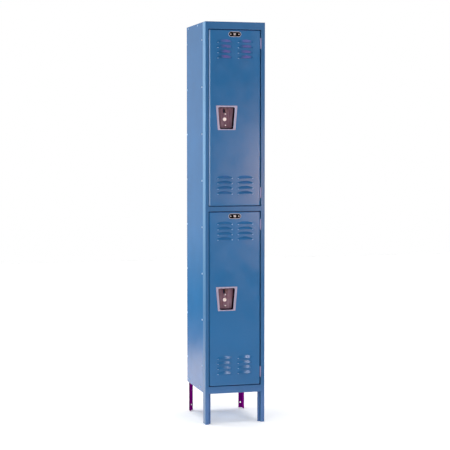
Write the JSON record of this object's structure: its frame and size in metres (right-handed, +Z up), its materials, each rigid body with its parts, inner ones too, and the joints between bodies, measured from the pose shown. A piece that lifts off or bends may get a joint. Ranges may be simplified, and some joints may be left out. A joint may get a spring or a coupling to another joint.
{
  "type": "school locker",
  "caption": "Double-tier steel school locker, one bay wide on open legs, with louvred hinged doors, recessed lift handles, gravity latches and coat hooks inside.",
  "frame": {"origin": "centre of the footprint on the floor", "axes": "+Z up, doors face -Y, +X to the right for somebody facing the doors"},
  "size_m": [0.3088, 0.3898, 1.9812],
  "materials": {
    "frame_paint": "baked enamel, satin",
    "door_paint": "baked enamel, satin",
    "panel_paint": "baked enamel, satin",
    "leg_paint": "baked enamel, satin",
    "zinc_plate": "bright zinc plate",
    "rubber": "matt",
    "hinge_steel": "nickel plate",
    "stainless": "brushed",
    "lift_steel": "dark brushed",
    "bright_steel": "polished",
    "nylon": "moulded",
    "plate_aluminium": "polished rim, black field"
  },
  "bodies": {
    "cabinet": {"back_bolts": "zinc_plate", "back_nuts": "zinc_plate", "back_panel": "panel_paint", "bottom_panel": "panel_paint", "ceiling_hooks": "zinc_plate", "frame_bottom_rail": "frame_paint", "frame_middle_rail": "frame_paint", "frame_top_rail": "frame_paint", "frame_upright_left": "frame_paint", "frame_upright_right": "frame_paint", "lower_door_silencers": "rubber", "lower_frame_hooks": "zinc_plate", "lower_hinge_frame_leaves": "hinge_steel", "lower_hinge_pins": "hinge_steel", "middle_shelf": "panel_paint", "rear_leg_left": "leg_paint", "rear_leg_right": "leg_paint", "side_bolts_left": "zinc_plate", "side_bolts_right": "zinc_plate", "side_nuts_left": "zinc_plate", "side_nuts_right": "zinc_plate", "side_panel_left": "panel_paint", "side_panel_right": "panel_paint", "top_panel": "panel_paint", "upper_door_silencers": "rubber", "upper_frame_hooks": "zinc_plate", "upper_hinge_frame_leaves": "hinge_steel", "upper_hinge_pins": "hinge_steel", "wall_hooks": "zinc_plate"},
    "upper_door": {"upper_bar_guides": "door_paint", "upper_door_panel": "door_paint", "upper_handle_pocket": "stainless", "upper_hinge_door_leaves": "hinge_steel", "upper_hinge_rivets": "hinge_steel", "upper_latch_channel": "door_paint", "upper_lock_hole_cover": "bright_steel", "upper_lock_screws": "bright_steel", "upper_number_plate": "plate_aluminium", "upper_plate_rivets": "bright_steel"},
    "lower_door": {"lower_bar_guides": "door_paint", "lower_door_panel": "door_paint", "lower_handle_pocket": "stainless", "lower_hinge_door_leaves": "hinge_steel", "lower_hinge_rivets": "hinge_steel", "lower_latch_channel": "door_paint", "lower_lock_hole_cover": "bright_steel", "lower_lock_screws": "bright_steel", "lower_number_plate": "plate_aluminium", "lower_plate_rivets": "bright_steel"},
    "upper_latch": {"upper_finger_lift": "lift_steel", "upper_latch_clips": "nylon", "upper_lock_bar": "zinc_plate"},
    "lower_latch": {"lower_finger_lift": "lift_steel", "lower_latch_clips": "nylon", "lower_lock_bar": "zinc_plate"}
  },
  "joints": [
    {"name": "upper_door_hinge", "type": "hinge", "parent": "cabinet", "child": "upper_door", "pos_m": [0.1298, -0.192, 1.5126], "axis": [0, 0, 1], "range_deg": [0, 175]},
    {"name": "upper_latch_slide", "type": "slide", "parent": "upper_door", "child": "upper_latch", "axis": [0, 0, 1], "range_m": [0, 0.0085]},
    {"name": "lower_door_hinge", "type": "hinge", "parent": "cabinet", "child": "lower_door", "pos_m": [0.1298, -0.192, 0.6217], "axis": [0, 0, 1], "range_deg": [0, 175]},
    {"name": "lower_latch_slide", "type": "slide", "parent": "lower_door", "child": "lower_latch", "axis": [0, 0, 1], "range_m": [0, 0.0085]}
  ]
}
